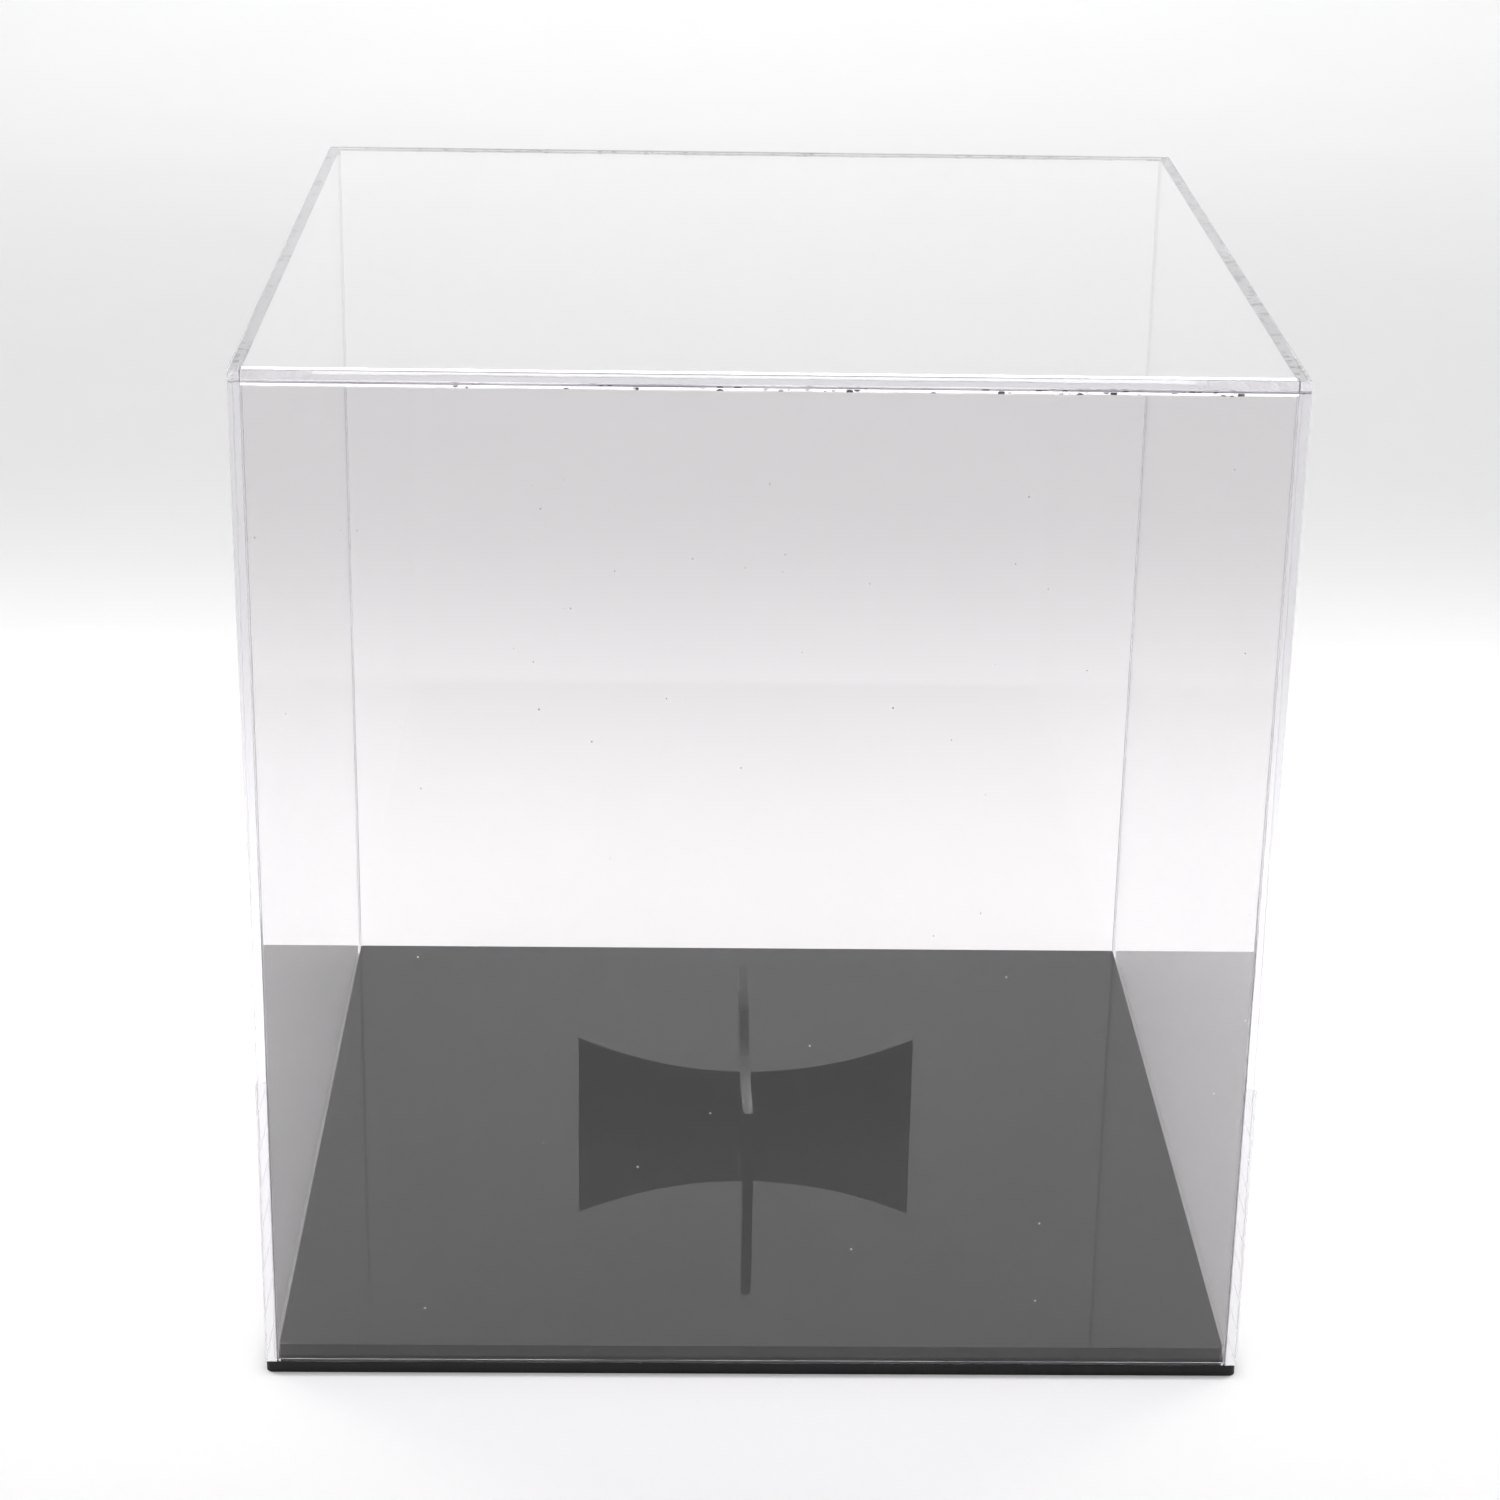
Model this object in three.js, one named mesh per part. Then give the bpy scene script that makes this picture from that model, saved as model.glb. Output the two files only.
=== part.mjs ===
// A clear display case for one full-size ball. A cover of five bonded clear sheets lifts off a
// two-layer black base, and two half-lapped black plates make the cross that the ball sits on.
// Millimetres, +Z up. The origin is the centre of the underside, and the front faces -Y.

import * as THREE from 'three';

// Driving dimensions of the case.
const CASE_WIDTH = 260;
const CASE_DEPTH = 262;
const CASE_HEIGHT = 276;
const CLEAR_SHEET = 3;
const BASE_PLATE_THICKNESS = 3;
const BASE_PLATE_CORNER_RADIUS = 2;
const LOCATING_PLATE_THICKNESS = 4;
const LOCATING_PLATE_CORNER_RADIUS = 1;

// Driving dimensions of the stand.
const BALL_RADIUS = 119;
const STAND_LENGTH = 100;
const STAND_SHEET = 3;
const STAND_WAIST = 18.5; // height of a stand plate under the ball's lowest point

// Clearances.
const CEMENT_LINE = 0.1; // between two bonded sheets
const SEAT_GAP = 0.1; // between pieces that only rest on each other
const COVER_CLEARANCE = 0.5; // each side, between the cover and the locating plate
const SLOT_CLEARANCE = 0.15; // each side of a stand plate in the other one's slot
const LAP_GAP = 0.3; // between the bottoms of the two slots

const CORNER_SEGMENTS = 6;
const CRADLE_SEGMENTS = 12;

// Heights that follow from the dimensions above.
const COVER_BOTTOM = BASE_PLATE_THICKNESS + SEAT_GAP;
const WALL_TOP = CASE_HEIGHT - CLEAR_SHEET - CEMENT_LINE;
const WALL_HEIGHT = WALL_TOP - COVER_BOTTOM;
const WALL_MIDDLE = (WALL_TOP + COVER_BOTTOM) / 2;
const LOCATING_PLATE_BOTTOM = BASE_PLATE_THICKNESS + CEMENT_LINE;
const STAND_BOTTOM = LOCATING_PLATE_BOTTOM + LOCATING_PLATE_THICKNESS + SEAT_GAP;

const clearAcrylic = new THREE.MeshStandardMaterial({
  color: 0xeef1f4,
  roughness: 0.03,
  metalness: 0,
  transparent: true,
  opacity: 0.15,
});
const baseAcrylic = new THREE.MeshStandardMaterial({ color: 0x050505, roughness: 0.05, metalness: 0 });
const standAcrylic = new THREE.MeshStandardMaterial({ color: 0x070707, roughness: 0.12, metalness: 0 });

function namedMesh(name, geometry, material) {
  const mesh = new THREE.Mesh(geometry, material);
  mesh.name = name;
  return mesh;
}

// A flat clear sheet, given by its size and the place of its centre.
function clearSheet(name, width, depth, height, x, y, z) {
  const mesh = namedMesh(name, new THREE.BoxGeometry(width, depth, height), clearAcrylic);
  mesh.position.set(x, y, z);
  return mesh;
}

// The two side walls run the full depth, the front and back walls fit between them, and the top
// closes all four.
function makeCover() {
  const cover = new THREE.Group();
  const sideX = (CASE_WIDTH - CLEAR_SHEET) / 2;
  const endY = (CASE_DEPTH - CLEAR_SHEET) / 2;
  const endWidth = CASE_WIDTH - 2 * (CLEAR_SHEET + CEMENT_LINE);
  const topZ = CASE_HEIGHT - CLEAR_SHEET / 2;
  for (const [name, x] of [['left_wall', -sideX], ['right_wall', sideX]]) {
    cover.add(clearSheet(name, CLEAR_SHEET, CASE_DEPTH, WALL_HEIGHT, x, 0, WALL_MIDDLE));
  }
  for (const [name, y] of [['front_wall', -endY], ['back_wall', endY]]) {
    cover.add(clearSheet(name, endWidth, CLEAR_SHEET, WALL_HEIGHT, 0, y, WALL_MIDDLE));
  }
  cover.add(clearSheet('top_sheet', CASE_WIDTH, CASE_DEPTH, CLEAR_SHEET, 0, 0, topZ));
  return cover;
}

// A rectangle centred on the origin, with round corners.
function roundedRectangle(width, depth, radius) {
  const x = width / 2 - radius;
  const y = depth / 2 - radius;
  const quarter = Math.PI / 2;
  const shape = new THREE.Shape();
  shape.absarc(x, y, radius, 0, quarter);
  shape.absarc(-x, y, radius, quarter, 2 * quarter);
  shape.absarc(-x, -y, radius, 2 * quarter, 3 * quarter);
  shape.absarc(x, -y, radius, 3 * quarter, 4 * quarter);
  return shape;
}

// A flat black plate of the base, lying with its underside at the given height.
function basePlate(name, width, depth, radius, thickness, bottom) {
  const geometry = new THREE.ExtrudeGeometry(roundedRectangle(width, depth, radius), {
    depth: thickness,
    bevelEnabled: false,
    curveSegments: CORNER_SEGMENTS,
  });
  const mesh = namedMesh(name, geometry, baseAcrylic);
  mesh.position.z = bottom;
  return mesh;
}

// The lower plate has the cover's outline and carries its walls. The upper one fits inside the
// walls and keeps the cover in place.
function makeBase() {
  const base = new THREE.Group();
  const inset = 2 * (CLEAR_SHEET + COVER_CLEARANCE);
  base.add(basePlate('base_plate', CASE_WIDTH, CASE_DEPTH, BASE_PLATE_CORNER_RADIUS,
    BASE_PLATE_THICKNESS, 0));
  base.add(basePlate('locating_plate', CASE_WIDTH - inset, CASE_DEPTH - inset,
    LOCATING_PLATE_CORNER_RADIUS, LOCATING_PLATE_THICKNESS, LOCATING_PLATE_BOTTOM));
  return base;
}

// The outline of a stand plate in its own plane, standing on y = 0. Its top edge is the ball's own
// arc. The slot that takes the other plate opens upwards or downwards at the middle.
function standOutline(slotOpensUp) {
  const end = STAND_LENGTH / 2;
  const slot = STAND_SHEET / 2 + SLOT_CLEARANCE;
  const centreY = STAND_WAIST + BALL_RADIUS;
  const angleAt = (x) => Math.atan2(-Math.sqrt(BALL_RADIUS ** 2 - x ** 2), x);
  const arc = (fromX, toX) => shape.absarc(0, centreY, BALL_RADIUS, angleAt(fromX), angleAt(toX), true);
  const shape = new THREE.Shape();
  shape.moveTo(-end, 0);
  if (slotOpensUp) {
    const slotBottom = (STAND_WAIST - LAP_GAP) / 2;
    shape.lineTo(end, 0);
    arc(end, slot);
    shape.lineTo(slot, slotBottom);
    shape.lineTo(-slot, slotBottom);
    arc(-slot, -end);
  } else {
    const slotTop = (STAND_WAIST + LAP_GAP) / 2;
    shape.lineTo(-slot, 0);
    shape.lineTo(-slot, slotTop);
    shape.lineTo(slot, slotTop);
    shape.lineTo(slot, 0);
    shape.lineTo(end, 0);
    arc(end, -end);
  }
  shape.closePath();
  return shape;
}

// A stand plate stood on edge along X, its thickness centred on the origin's plane.
function standPlate(name, slotOpensUp) {
  const geometry = new THREE.ExtrudeGeometry(standOutline(slotOpensUp), {
    depth: STAND_SHEET,
    bevelEnabled: false,
    curveSegments: CRADLE_SEGMENTS,
  });
  geometry.translate(0, 0, -STAND_SHEET / 2);
  geometry.rotateX(Math.PI / 2);
  const mesh = namedMesh(name, geometry, standAcrylic);
  mesh.position.z = STAND_BOTTOM;
  return mesh;
}

// The plate that runs from side to side is slotted from above, and the one that runs from front to
// back drops over it.
function makeStand() {
  const stand = new THREE.Group();
  const frontToBack = standPlate('stand_plate_front_to_back', false);
  frontToBack.rotation.z = Math.PI / 2;
  stand.add(standPlate('stand_plate_side_to_side', true));
  stand.add(frontToBack);
  return stand;
}

const group = new THREE.Group();
group.add(makeBase(), makeStand(), makeCover());

export default group;
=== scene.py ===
"""Looks of the ball display case: clear acrylic cover, black acrylic base and cross-shaped stand."""

import math
import random

import bmesh
import bpy
from mathutils import Matrix, Vector


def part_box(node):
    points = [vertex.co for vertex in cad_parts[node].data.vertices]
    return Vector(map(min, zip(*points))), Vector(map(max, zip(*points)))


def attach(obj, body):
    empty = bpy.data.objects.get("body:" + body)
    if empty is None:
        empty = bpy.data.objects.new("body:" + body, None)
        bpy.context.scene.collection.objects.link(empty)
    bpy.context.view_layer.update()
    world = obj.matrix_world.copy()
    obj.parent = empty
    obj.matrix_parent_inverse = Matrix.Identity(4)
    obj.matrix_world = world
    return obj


MM = 0.001

# Camera, in metres and degrees, in the part's frame. It looks towards +Y, from a little to the left.
CAMERA_PLACE = (-0.0238, -0.9332, 0.4942)
CAMERA_DOWN = 21.40
CAMERA_YAW = -1.444
CAMERA_ROLL = 1.013
CAMERA_LENS = 82.98
SENSOR = 36.0

# Studio, in metres. The floor is a little below the case, so that the two don't share a plane.
SWEEP_FLOOR_RADIUS = 1.6
SWEEP_BEND_RADIUS = 1.2
SWEEP_WALL_HEIGHT = 3.0
SWEEP_TURNS = 96
SWEEP_BEND_STEPS = 16
SWEEP_DROP = 0.05 * MM
WORLD_LIGHT = 0.32

# Light is followed through this many surfaces, because it runs along inside the clear sheets.
LIGHT_BOUNCES = 64

# Axis that a sheet is thin along. A surface whose normal has less than FACE_ALIGNMENT along it is a
# cut edge, and otherwise it is one of the sheet's two faces.
THIN_X = (1.0, 0.0, 0.0)
THIN_Y = (0.0, 1.0, 0.0)
THIN_Z = (0.0, 0.0, 1.0)
FACE_ALIGNMENT = 0.95

CLEAR_EDGE_BREAK = 0.15 * MM
END_WALL_EDGE_BREAK = 0.22 * MM
BLACK_EDGE_BREAK = 0.25 * MM
WELD_REACH = 0.001 * MM
SHARP_ANGLE = math.radians(40)
ACRYLIC_IOR = 1.49

# Bead of cement behind the front wall, in the corner under the top sheet.
BEAD_DROP = 1.6 * MM
BEAD_DEPTH = 2.3 * MM
BEAD_GAP = 0.02 * MM
BEAD_STEPS = 4
BEAD_HOLLOW = 0.04
BEAD_PIECES = 80
BEAD_UNEVENNESS = 0.10
BEAD_SEED = 11

# A normal turns round when light meets the bead from inside, so only its line is tested. The open
# side's normals lie nearly along this way, with a product above the least one, and those of the
# other sides are at 45 degrees or more to it.
BEAD_OPEN_WAY = (0.0, 1.0, -1.0)
BEAD_OPEN_LEAST = 1.2

# Most of a noise pattern's values lie between these two.
NOISE_LOW = 0.3
NOISE_HIGH = 0.7

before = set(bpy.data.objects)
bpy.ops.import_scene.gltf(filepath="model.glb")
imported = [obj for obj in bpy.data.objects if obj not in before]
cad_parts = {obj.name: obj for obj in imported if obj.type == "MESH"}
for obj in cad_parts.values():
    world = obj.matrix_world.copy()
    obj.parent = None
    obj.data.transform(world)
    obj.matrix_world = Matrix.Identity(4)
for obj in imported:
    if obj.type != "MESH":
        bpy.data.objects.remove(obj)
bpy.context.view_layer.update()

# Where the sheets of the cover meet: the middle of each cement line, and the cover's inner faces.
TOP_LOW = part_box("top_sheet")[0]
SIDE_LOW, SIDE_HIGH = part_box("right_wall")
FRONT_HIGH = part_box("front_wall")[1]
TOP_JOINT = (TOP_LOW.z + SIDE_HIGH.z) / 2
CORNER_JOINT = (SIDE_LOW.x + FRONT_HIGH.x) / 2
INNER_X = SIDE_LOW.x
INNER_Y = -FRONT_HIGH.y
JOINT_REACH = 0.08 * MM
GROOVE_REACH = 0.2 * MM


def colour(red, green, blue):
    return (red, green, blue, 1.0)


# ---------------------------------------------------------------- colours

PAPER_SHADE = colour(0.80, 0.80, 0.805)
PAPER_LIGHT = colour(0.83, 0.83, 0.832)

CLEAR_FACE = colour(0.915, 0.905, 0.91)
CLEAR_EDGE = colour(0.90, 0.885, 0.92)
# Dark tint of the joints' grooves: painted shade, not the colour of the dried cement.
JOINT_PAINTED_SHADE = colour(0.20, 0.17, 0.24)
JOINT_BUBBLE = colour(0.03, 0.025, 0.035)
PALE_DUST = colour(0.75, 0.74, 0.73)
LAMP_TINT = colour(0.93, 0.925, 0.93)

CEMENT_CLOUDY = colour(0.96, 0.955, 0.96)
CEMENT_CLEAR = colour(1.0, 0.99, 1.0)
CEMENT_BUBBLE = colour(0.06, 0.05, 0.07)

BLACK_DEEP = colour(0.0045, 0.0045, 0.005)
BLACK_HAZY = colour(0.008, 0.0075, 0.0075)
BLACK_CUT = colour(0.0025, 0.0025, 0.003)
GREY_DUST = colour(0.30, 0.29, 0.28)


# ---------------------------------------------------------------- node helpers


class Nodes:
    """Short calls for building one material's node tree."""

    def __init__(self, name):
        self.material = bpy.data.materials.new(name)
        self.material.use_nodes = True
        self.tree = self.material.node_tree
        self.tree.nodes.clear()
        self.output = self.tree.nodes.new("ShaderNodeOutputMaterial")
        self.place = self.add("ShaderNodeTexCoord").outputs["Object"]

    def add(self, kind, **sockets):
        node = self.tree.nodes.new(kind)
        for name, value in sockets.items():
            self.feed(node.inputs[name.replace("_", " ")], value)
        return node

    def feed(self, socket, value):
        if isinstance(value, bpy.types.NodeSocket):
            self.tree.links.new(value, socket)
        else:
            socket.default_value = value

    def feed_all(self, node, *values):
        for socket, value in zip(node.inputs, values):
            self.feed(socket, value)

    def math(self, operation, first, second=0.0, third=0.0):
        node = self.tree.nodes.new("ShaderNodeMath")
        node.operation = operation
        self.feed_all(node, first, second, third)
        return node.outputs[0]

    def both(self, first, second):
        return self.math("MULTIPLY", first, second)

    def either(self, first, second):
        return self.math("MAXIMUM", first, second)

    def inverse(self, value):
        return self.math("SUBTRACT", 1.0, value)

    def vector(self, operation, first, second):
        node = self.tree.nodes.new("ShaderNodeVectorMath")
        node.operation = operation
        self.feed_all(node, first, second)
        return node.outputs["Value"] if operation == "DOT_PRODUCT" else node.outputs["Vector"]

    def parts(self, vector):
        return self.add("ShaderNodeSeparateXYZ", Vector=vector).outputs

    def normal(self):
        return self.add("ShaderNodeTexCoord").outputs["Normal"]

    def along(self, direction):
        """How nearly the surface's normal lies along a direction, whichever way it points."""
        return self.math("ABSOLUTE", self.vector("DOT_PRODUCT", self.normal(), direction))

    def colours(self, factor, first, second):
        node = self.tree.nodes.new("ShaderNodeMix")
        node.data_type = "RGBA"
        sockets = [socket for socket in node.inputs if socket.enabled]
        for socket, value in zip(sockets, (factor, first, second)):
            self.feed(socket, value)
        return next(socket for socket in node.outputs if socket.enabled)

    def range(self, value, low, high, to_low, to_high):
        node = self.add("ShaderNodeMapRange")
        self.feed_all(node, value, low, high, to_low, to_high)
        return node.outputs[0]

    def spread(self, pattern, to_low, to_high):
        """Turns a noise pattern into values from to_low to to_high."""
        return self.range(pattern, NOISE_LOW, NOISE_HIGH, to_low, to_high)

    def noise(self, scale, detail=2.0, stretch=(1.0, 1.0, 1.0), turn=0.0):
        place = self.add("ShaderNodeVectorRotate", Vector=self.place, Angle=turn).outputs[0]
        stretched = self.vector("MULTIPLY", place, stretch)
        node = self.add("ShaderNodeTexNoise", Vector=stretched, Scale=scale, Detail=detail)
        return node.outputs["Fac"]

    def specks(self, scale, size, share, stretch=(1.0, 1.0, 1.0)):
        """1 inside small spots, one in each of the given share of the cells of a pattern."""
        stretched = self.vector("MULTIPLY", self.place, stretch)
        cells = self.add("ShaderNodeTexVoronoi", Vector=stretched, Scale=scale)
        chosen = self.math("LESS_THAN", self.parts(cells.outputs["Color"])[0], share)
        inside = self.math("LESS_THAN", cells.outputs["Distance"], size)
        return self.both(chosen, inside)

    def bump(self, height, depth):
        """depth is how far the surface moves, in metres, as height goes from 0 to 1."""
        return self.add("ShaderNodeBump", Height=height, Distance=depth).outputs[0]

    def mix(self, factor, first, second):
        node = self.tree.nodes.new("ShaderNodeMixShader")
        self.feed_all(node, factor, first, second)
        return node.outputs[0]

    def finish(self, shader):
        self.tree.links.new(shader, self.output.inputs["Surface"])
        return self.material


def stretched_along(thin_axis, amount):
    """Scales a pattern so that it runs along a sheet's faces and along its cut edges."""
    return tuple(1.0 if part else amount for part in thin_axis)


def stretched_across(thin_axis, amount):
    """Scales a pattern so that it runs across a sheet's thickness."""
    return tuple(amount if part else 1.0 for part in thin_axis)


# ---------------------------------------------------------------- camera and studio


def make_camera():
    camera = bpy.data.objects.new("camera", bpy.data.cameras.new("camera"))
    bpy.context.scene.collection.objects.link(camera)
    camera.data.lens = CAMERA_LENS
    camera.data.sensor_width = SENSOR
    turn = Matrix.Rotation(math.radians(CAMERA_YAW), 4, "Z")
    tilt = Matrix.Rotation(math.radians(90 - CAMERA_DOWN), 4, "X")
    roll = Matrix.Rotation(math.radians(CAMERA_ROLL), 4, "Z")
    camera.matrix_world = Matrix.Translation(CAMERA_PLACE) @ turn @ tilt @ roll
    bpy.context.scene.camera = camera


def sweep_profile():
    """Floor, bend and wall of the studio sweep, as (radius, height) from the middle outwards."""
    points = [(SWEEP_FLOOR_RADIUS, 0.0)]
    for step in range(1, SWEEP_BEND_STEPS + 1):
        angle = step / SWEEP_BEND_STEPS * math.pi / 2
        points.append((
            SWEEP_FLOOR_RADIUS + SWEEP_BEND_RADIUS * math.sin(angle),
            SWEEP_BEND_RADIUS * (1 - math.cos(angle)),
        ))
    points.append((SWEEP_FLOOR_RADIUS + SWEEP_BEND_RADIUS, SWEEP_WALL_HEIGHT))
    return points


def make_sweep():
    """A pale floor that bends up into a wall all round."""
    rings = sweep_profile()
    vertices = [(0.0, 0.0, 0.0)]
    faces = []
    for radius, height in rings:
        for turn in range(SWEEP_TURNS):
            angle = 2 * math.pi * turn / SWEEP_TURNS
            vertices.append((radius * math.cos(angle), radius * math.sin(angle), height))
    for turn in range(SWEEP_TURNS):
        after = (turn + 1) % SWEEP_TURNS
        faces.append((0, 1 + turn, 1 + after))
        for ring in range(len(rings) - 1):
            inner = 1 + ring * SWEEP_TURNS
            outer = inner + SWEEP_TURNS
            faces.append((inner + turn, outer + turn, outer + after, inner + after))
    sweep = add_mesh("studio_sweep", vertices, faces, paper())
    sweep.location.z = -SWEEP_DROP


def add_mesh(name, vertices, faces, material):
    """A new object with its normals facing outwards, and smooth except at its sharp edges."""
    mesh = bpy.data.meshes.new(name)
    mesh.from_pydata(vertices, [], faces)
    solid = bmesh.new()
    solid.from_mesh(mesh)
    bmesh.ops.recalc_face_normals(solid, faces=solid.faces)
    solid.to_mesh(mesh)
    solid.free()
    mesh.shade_smooth()
    mesh.set_sharp_from_angle(angle=SHARP_ANGLE)
    mesh.materials.append(material)
    obj = bpy.data.objects.new(name, mesh)
    bpy.context.scene.collection.objects.link(obj)
    return obj


def paper():
    nodes = Nodes("studio_paper")
    mottle = nodes.noise(scale=6.0, detail=3.0)
    fibres = nodes.noise(scale=900.0, detail=3.0)
    shader = nodes.add(
        "ShaderNodeBsdfPrincipled",
        Base_Color=nodes.colours(mottle, PAPER_SHADE, PAPER_LIGHT),
        Roughness=nodes.spread(fibres, 0.82, 0.95),
        Normal=nodes.bump(fibres, depth=0.05 * MM),
    )
    return nodes.finish(shader.outputs[0])


def add_softbox(name, place, aim, width, height, power, spread=180.0):
    """A rectangular lamp: sizes in metres, power in watts, and the spread of its light in degrees."""
    light = bpy.data.lights.new(name, "AREA")
    light.shape = "RECTANGLE"
    light.size = width
    light.size_y = height
    light.energy = power
    light.spread = math.radians(spread)
    lamp = bpy.data.objects.new(name, light)
    bpy.context.scene.collection.objects.link(lamp)
    lamp.location = place
    direction = Vector(aim) - lamp.location
    lamp.rotation_euler = direction.to_track_quat("-Z", "Y").to_euler()


def make_lights():
    """A large softbox overhead, one on the backdrop, and a weak narrow one at each side."""
    add_softbox(
        "softbox_top", place=(0.0, 0.3, 2.3), aim=(0.0, 0.3, 0.0), width=2.2, height=2.2, power=36.0
    )
    add_softbox(
        "backdrop_light", place=(0.0, 1.0, 2.5), aim=(0.0, 2.7, 0.8),
        width=2.4, height=0.8, power=14.0, spread=90.0,
    )
    for name, side in (("softbox_left", -1), ("softbox_right", 1)):
        add_softbox(
            name, place=(side * 0.8, 0.5, 0.9), aim=(side * 0.24, 0.12, 0.0),
            width=0.4, height=0.4, power=0.7, spread=45.0,
        )
    world = bpy.data.worlds.new("studio_fill")
    bpy.context.scene.world = world
    world.use_nodes = True
    background = world.node_tree.nodes["Background"]
    background.inputs["Color"].default_value = colour(1.0, 1.0, 1.0)
    background.inputs["Strength"].default_value = WORLD_LIGHT


# ---------------------------------------------------------------- joints of the cover


def edge_mask(nodes, thin_axis):
    """1 on a sheet's cut edges and 0 on its two faces."""
    return nodes.math("LESS_THAN", nodes.along(thin_axis), FACE_ALIGNMENT)


def joint_mask(nodes, reach):
    """1 within reach of the joints between the cover's sheets."""
    x, y, z = nodes.parts(nodes.place)
    side = nodes.math("ABSOLUTE", x)
    end = nodes.math("ABSOLUTE", y)
    over_side = nodes.math("GREATER_THAN", side, INNER_X - JOINT_REACH)
    over_end = nodes.math("GREATER_THAN", end, INNER_Y - JOINT_REACH)
    at_top = nodes.math("COMPARE", z, TOP_JOINT, reach)
    at_corner = nodes.math("COMPARE", side, CORNER_JOINT, reach)
    under_top = nodes.both(at_top, nodes.either(over_side, over_end))
    return nodes.either(under_top, nodes.both(at_corner, over_end))


def bead_mask(nodes):
    """1 where the bead of cement wets the front wall."""
    x, y, z = nodes.parts(nodes.place)
    least_drop = BEAD_DROP * (1 - BEAD_UNEVENNESS)
    inside = nodes.math("LESS_THAN", nodes.math("ABSOLUTE", x), INNER_X)
    on_wall = nodes.math("COMPARE", y, -INNER_Y, END_WALL_EDGE_BREAK + BEAD_GAP)
    beside_bead = nodes.math("GREATER_THAN", z, TOP_LOW.z - least_drop)
    under_top = nodes.math("LESS_THAN", z, TOP_JOINT)
    return nodes.both(nodes.both(inside, on_wall), nodes.both(beside_bead, under_top))


def bubble_mask(nodes):
    """1 in the flat bubbles in the cement under the top sheet: few at the left, more at the right."""
    x, y, z = nodes.parts(nodes.place)
    at_top = nodes.math("COMPARE", z, TOP_JOINT, BEAD_DROP)
    trend = nodes.range(x, -INNER_X, INNER_X, -0.15, 0.12)
    patches = nodes.range(nodes.noise(scale=30.0, detail=1.0), 0.38, 0.65, 0.0, 0.45)
    over_side = nodes.math("GREATER_THAN", nodes.math("ABSOLUTE", x), INNER_X)
    share = nodes.math("ADD", nodes.math("ADD", trend, patches), nodes.both(over_side, 0.2))
    bubbles = nodes.specks(scale=650.0, size=0.42, share=share, stretch=(0.75, 0.75, 1.0))
    return nodes.both(at_top, bubbles)


def residue_and_shade_mask(nodes, groove):
    """How much dried cement dulls the joints, and how much painted shade darkens their grooves: most
    along the front and the top, less elsewhere.
    """
    x, y, z = nodes.parts(nodes.place)
    at_top = nodes.math("GREATER_THAN", z, TOP_JOINT - GROOVE_REACH)
    at_front = nodes.math("LESS_THAN", y, -INNER_Y)
    strength = nodes.range(nodes.both(at_top, at_front), 0.0, 1.0, 0.3, 1.0)
    return nodes.both(nodes.both(groove, strength), nodes.spread(nodes.noise(scale=25.0), 0.5, 1.0))


# ---------------------------------------------------------------- clear acrylic


def clear_tint(nodes, edge, streaks, residue_and_shade, in_cement, dust):
    """Colour of the light that a clear sheet lets through, with painted shade in the grooves at its
    joints.
    """
    tint = nodes.colours(nodes.both(edge, nodes.spread(streaks, 0.5, 1.0)), CLEAR_FACE, CLEAR_EDGE)
    # Painted shade: the grooves at the joints are tinted dark, most at the front top joint.
    tint = nodes.colours(residue_and_shade, tint, JOINT_PAINTED_SHADE)
    tint = nodes.colours(in_cement, tint, JOINT_BUBBLE)
    return nodes.colours(dust, tint, PALE_DUST)


def clear_roughness(nodes, edge, streaks, residue_and_shade):
    """Faint smears on the faces, streaks along the sawn edges, and dull cement in the joints."""
    smears = nodes.range(nodes.noise(scale=18.0, detail=4.0), 0.5, 0.8, 0.0, 0.003)
    edge_roughness = nodes.both(edge, nodes.spread(streaks, 0.02, 0.05))
    return nodes.either(nodes.math("ADD", smears, edge_roughness), nodes.both(residue_and_shade, 0.5))


def clear_acrylic(name, thin_axis):
    """Cast acrylic: polished faces with faint smears, and sawn edges polished along their length."""
    nodes = Nodes(name)
    edge = edge_mask(nodes, thin_axis)
    dust = nodes.specks(scale=160.0, size=0.04, share=0.12)
    streaks = nodes.noise(scale=700.0, detail=2.0, stretch=stretched_along(thin_axis, 0.02))
    bubbles = bubble_mask(nodes)
    groove = joint_mask(nodes, GROOVE_REACH)
    residue_and_shade = residue_and_shade_mask(nodes, groove)
    wetted = bead_mask(nodes)
    in_cement = nodes.both(nodes.either(groove, wetted), bubbles)
    roughness = clear_roughness(nodes, edge, streaks, residue_and_shade)
    waves = nodes.both(edge, nodes.noise(scale=90.0, detail=2.0))
    glass = nodes.add(
        "ShaderNodeBsdfPrincipled",
        Base_Color=clear_tint(nodes, edge, streaks, residue_and_shade, in_cement, dust),
        Roughness=nodes.either(roughness, nodes.both(dust, 0.6)),
        IOR=ACRYLIC_IOR,
        # Dust, and the painted shade in the joints' grooves, let less light through.
        Transmission_Weight=nodes.inverse(nodes.either(dust, nodes.both(residue_and_shade, 0.8))),
        Normal=nodes.bump(waves, depth=0.02 * MM),
    ).outputs[0]
    bond = nodes.both(bonded(nodes, wetted), nodes.inverse(bubbles))
    return nodes.finish(lit_through(nodes, bonded_sheet(nodes, bond, glass)))


def bonded(nodes, wetted):
    """How far the cement joins the sheets into one: fully at the bead, partly elsewhere."""
    patches = nodes.noise(scale=900.0, detail=2.0, stretch=(0.03, 0.03, 1.0))
    contact = nodes.spread(patches, 0.05, 0.35)
    return nodes.either(nodes.both(joint_mask(nodes, JOINT_REACH), contact), wetted)


def bonded_sheet(nodes, bond, glass):
    """Where sheets are bonded, light goes straight through, except where a bubble parts them."""
    passing = nodes.add("ShaderNodeBsdfTransparent").outputs[0]
    return nodes.mix(bond, glass, passing)


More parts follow.
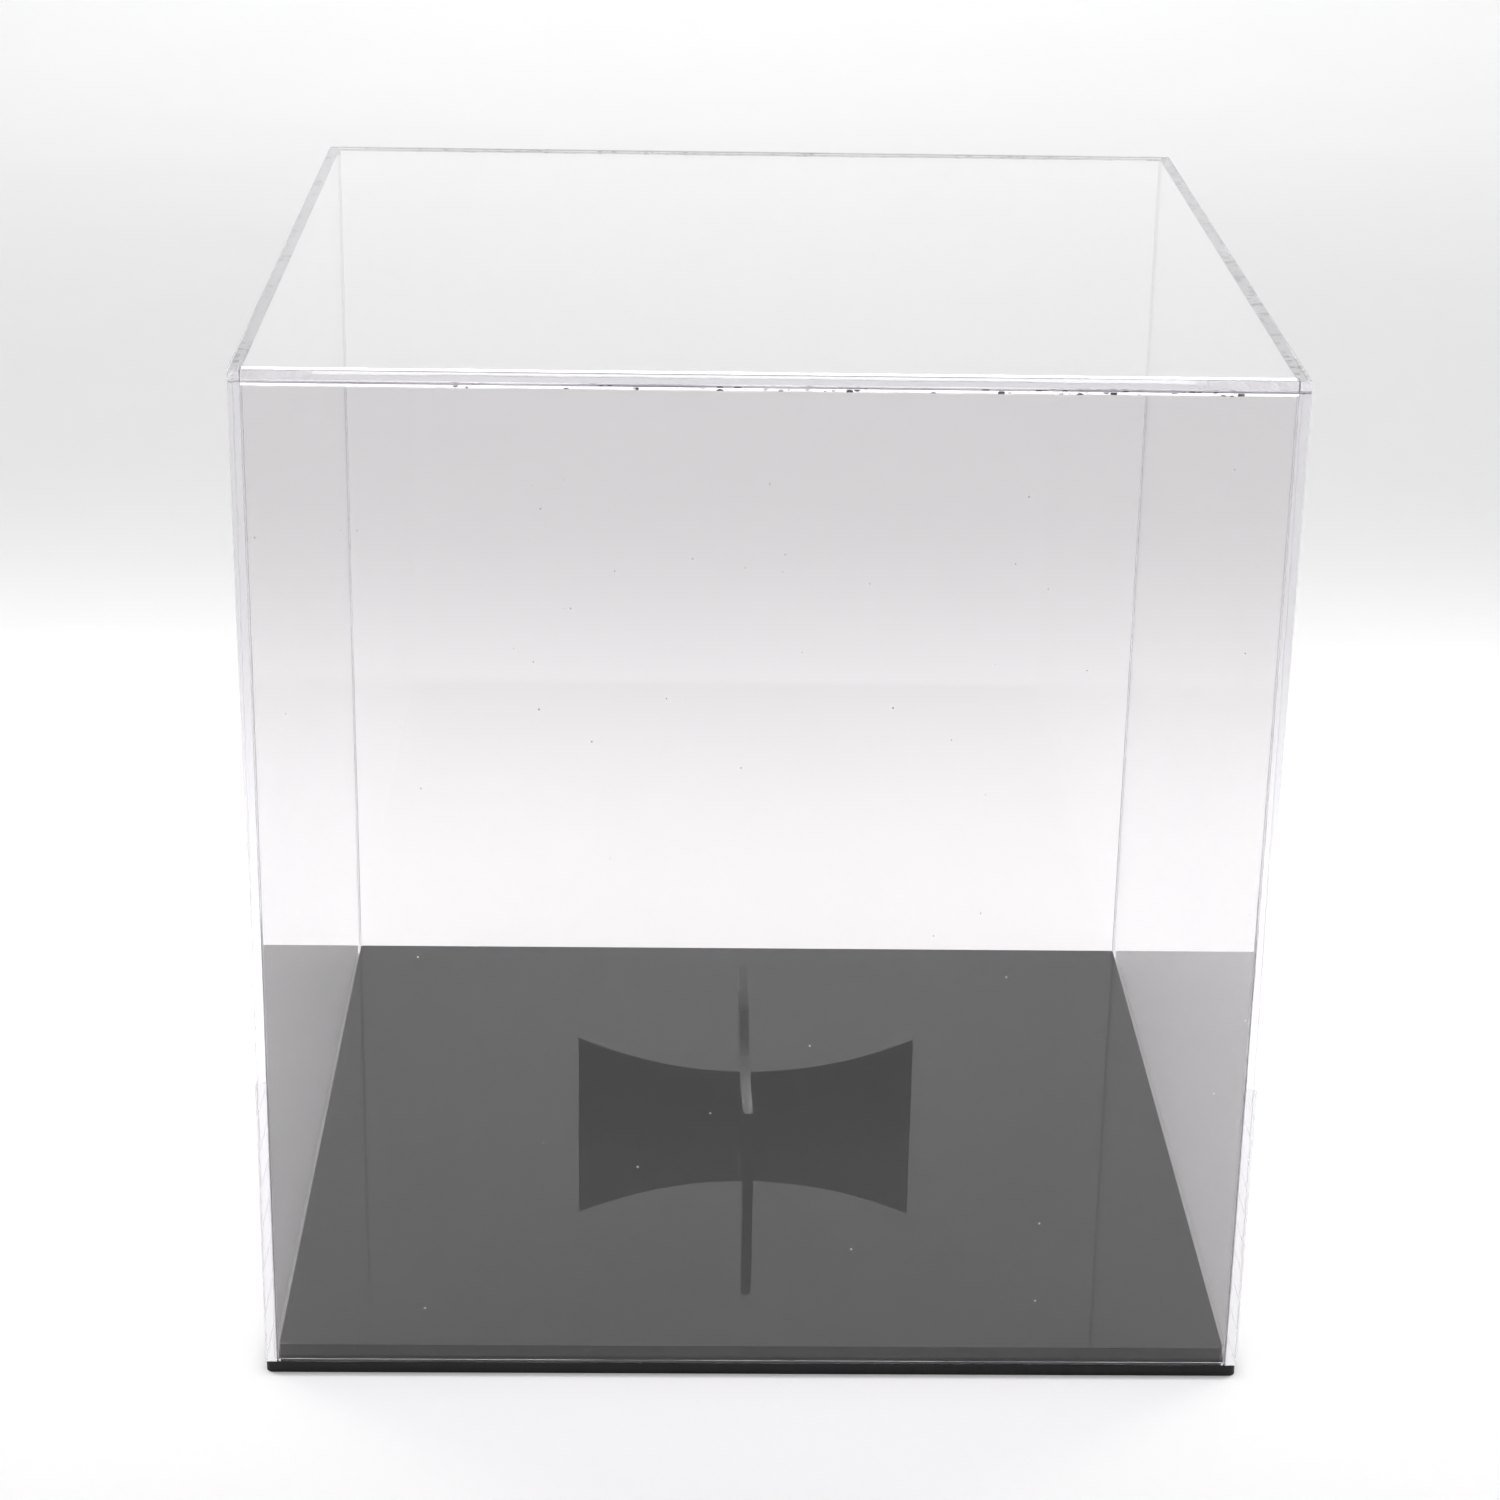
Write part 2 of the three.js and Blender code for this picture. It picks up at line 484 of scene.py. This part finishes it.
def lit_through(nodes, sheet):
    """Light from the lamps passes through, so that the inside of the case is lit."""
    lamp_tint = nodes.add("ShaderNodeBsdfTransparent", Color=LAMP_TINT).outputs[0]
    rays = nodes.add("ShaderNodeLightPath").outputs
    lamp_rays = nodes.either(rays["Is Shadow Ray"], rays["Is Diffuse Ray"])
    return nodes.mix(lamp_rays, sheet, lamp_tint)


# ---------------------------------------------------------------- cement


def bead_profile():
    """The bead's section, as (depth, drop) shares of its size: its open side, then its corner."""
    points = []
    for step in range(BEAD_STEPS + 1):
        share = step / BEAD_STEPS
        sag = BEAD_HOLLOW * math.sin(math.pi * share)
        points.append((1 - share - sag, share - sag))
    return points + [(0.0, 0.0)]


def make_bead():
    """The cement that crept out behind the front wall, in the corner under the top sheet."""
    draws = random.Random(BEAD_SEED)
    profile = bead_profile()
    count = len(profile)
    vertices = []
    for piece in range(BEAD_PIECES + 1):
        x = (INNER_X - BEAD_GAP) * (2 * piece / BEAD_PIECES - 1)
        size = 1 + draws.uniform(-BEAD_UNEVENNESS, BEAD_UNEVENNESS)
        for depth, drop in profile:
            y = BEAD_GAP + depth * size * BEAD_DEPTH - INNER_Y
            vertices.append((x, y, TOP_LOW.z - BEAD_GAP - drop * size * BEAD_DROP))
    faces = [tuple(range(count)), tuple(range(len(vertices) - count, len(vertices)))]
    for piece in range(BEAD_PIECES):
        for step in range(count):
            near = piece * count + step
            beside = piece * count + (step + 1) % count
            faces.append((near, near + count, beside + count, beside))
    bead = add_mesh("cement_bead", vertices, faces, cement())
    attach(bead, "cover")


def cement():
    """Dried acrylic cement: clear and glossy on its open side, not to be seen where it wets a sheet."""
    nodes = Nodes("acrylic_cement")
    open_side = nodes.math("GREATER_THAN", nodes.along(BEAD_OPEN_WAY), BEAD_OPEN_LEAST)
    cloud = nodes.noise(scale=160.0, detail=3.0)
    tint = nodes.colours(cloud, CEMENT_CLOUDY, CEMENT_CLEAR)
    glass = nodes.add(
        "ShaderNodeBsdfPrincipled",
        Base_Color=nodes.colours(bubble_mask(nodes), tint, CEMENT_BUBBLE),
        Roughness=nodes.spread(cloud, 0.02, 0.08),
        IOR=ACRYLIC_IOR,
        Transmission_Weight=1.0,
        Normal=nodes.bump(cloud, depth=0.03 * MM),
    ).outputs[0]
    passing = nodes.add("ShaderNodeBsdfTransparent").outputs[0]
    return nodes.finish(nodes.mix(open_side, passing, glass))


# ---------------------------------------------------------------- black acrylic


def hairlines(nodes, turn):
    """Fine polishing scratches: thin lines where a long stretched pattern crosses its middle."""
    pattern = nodes.noise(scale=220.0, detail=1.0, stretch=(0.04, 1.0, 1.0), turn=turn)
    line = nodes.math("COMPARE", pattern, 0.5, 0.006)
    patches = nodes.range(nodes.noise(scale=35.0, detail=2.0), 0.45, 0.62, 0.0, 1.0)
    return nodes.both(line, patches)


def black_dust(nodes):
    """Specks of dust: a few large ones among many small ones."""
    large = nodes.specks(scale=260.0, size=0.05, share=0.07)
    small = nodes.specks(scale=1100.0, size=0.15, share=0.035)
    return nodes.either(large, small)


def black_acrylic(name, thin_axis, polish, edge_roughness):
    """Black sheet: mirror faces with dust, haze and hairlines, and matt cut edges."""
    nodes = Nodes(name)
    edge = edge_mask(nodes, thin_axis)
    face = nodes.inverse(edge)
    haze = nodes.noise(scale=26.0, detail=4.0)
    cuts = nodes.noise(scale=2600.0, detail=2.0, stretch=stretched_across(thin_axis, 0.02))
    dust = nodes.both(black_dust(nodes), face)
    scratches = nodes.both(nodes.either(hairlines(nodes, 0.35), hairlines(nodes, 1.7)), face)

    black = nodes.colours(haze, BLACK_DEEP, BLACK_HAZY)
    black = nodes.colours(nodes.both(edge, cuts), black, BLACK_CUT)
    face_roughness = nodes.range(haze, 0.35, 0.75, polish, polish + 0.015)
    face_roughness = nodes.math("ADD", face_roughness, nodes.both(scratches, 0.12))
    cut_roughness = nodes.spread(cuts, edge_roughness - 0.08, edge_roughness + 0.08)
    roughness = nodes.math("ADD", nodes.both(face, face_roughness), nodes.both(edge, cut_roughness))
    height = nodes.math("ADD", nodes.both(edge, cuts), nodes.both(dust, 2.0))
    shader = nodes.add(
        "ShaderNodeBsdfPrincipled",
        Base_Color=nodes.colours(dust, black, GREY_DUST),
        Roughness=nodes.either(roughness, nodes.both(dust, 0.8)),
        IOR=ACRYLIC_IOR,
        Specular_IOR_Level=0.35,
        Normal=nodes.bump(height, depth=0.02 * MM),
    )
    return nodes.finish(shader.outputs[0])


# ---------------------------------------------------------------- putting it together


def dress(node_name, material, edge, segments):
    """Gives a CAD node its material and breaks its sharp edges."""
    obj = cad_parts[node_name]
    obj.data.materials.clear()
    obj.data.materials.append(material)
    weld = obj.modifiers.new("join_corners", "WELD")
    weld.merge_threshold = WELD_REACH
    bevel = obj.modifiers.new("broken_edges", "BEVEL")
    bevel.width = edge
    bevel.segments = segments
    bevel.limit_method = "ANGLE"
    bevel.angle_limit = SHARP_ANGLE


def dress_cover():
    side_clear = clear_acrylic("clear_side_sheet", THIN_X)
    end_clear = clear_acrylic("clear_end_sheet", THIN_Y)
    for wall in ("left_wall", "right_wall"):
        dress(wall, side_clear, CLEAR_EDGE_BREAK, segments=1)
    for wall in ("front_wall", "back_wall"):
        dress(wall, end_clear, END_WALL_EDGE_BREAK, segments=1)
    dress("top_sheet", clear_acrylic("clear_top_sheet", THIN_Z), CLEAR_EDGE_BREAK, segments=1)


def dress_base():
    black_base = black_acrylic("black_base", THIN_Z, polish=0.008, edge_roughness=0.5)
    for plate in ("base_plate", "locating_plate"):
        dress(plate, black_base, BLACK_EDGE_BREAK, segments=2)


def dress_stand():
    plates = (
        ("stand_plate_side_to_side", "black_stand_crosswise", THIN_Y),
        ("stand_plate_front_to_back", "black_stand_lengthwise", THIN_X),
    )
    for plate, material_name, thin_axis in plates:
        material = black_acrylic(material_name, thin_axis, polish=0.06, edge_roughness=0.2)
        dress(plate, material, BLACK_EDGE_BREAK, segments=2)


def set_light_paths():
    """Enough bounces for light that runs along inside the sheets, and plain display colours."""
    scene = bpy.context.scene
    scene.view_settings.view_transform = "Standard"
    scene.cycles.max_bounces = LIGHT_BOUNCES
    scene.cycles.transmission_bounces = LIGHT_BOUNCES
    scene.cycles.glossy_bounces = LIGHT_BOUNCES
    scene.cycles.transparent_max_bounces = LIGHT_BOUNCES


make_camera()
make_sweep()
make_lights()
dress_cover()
make_bead()
dress_base()
dress_stand()
set_light_paths()
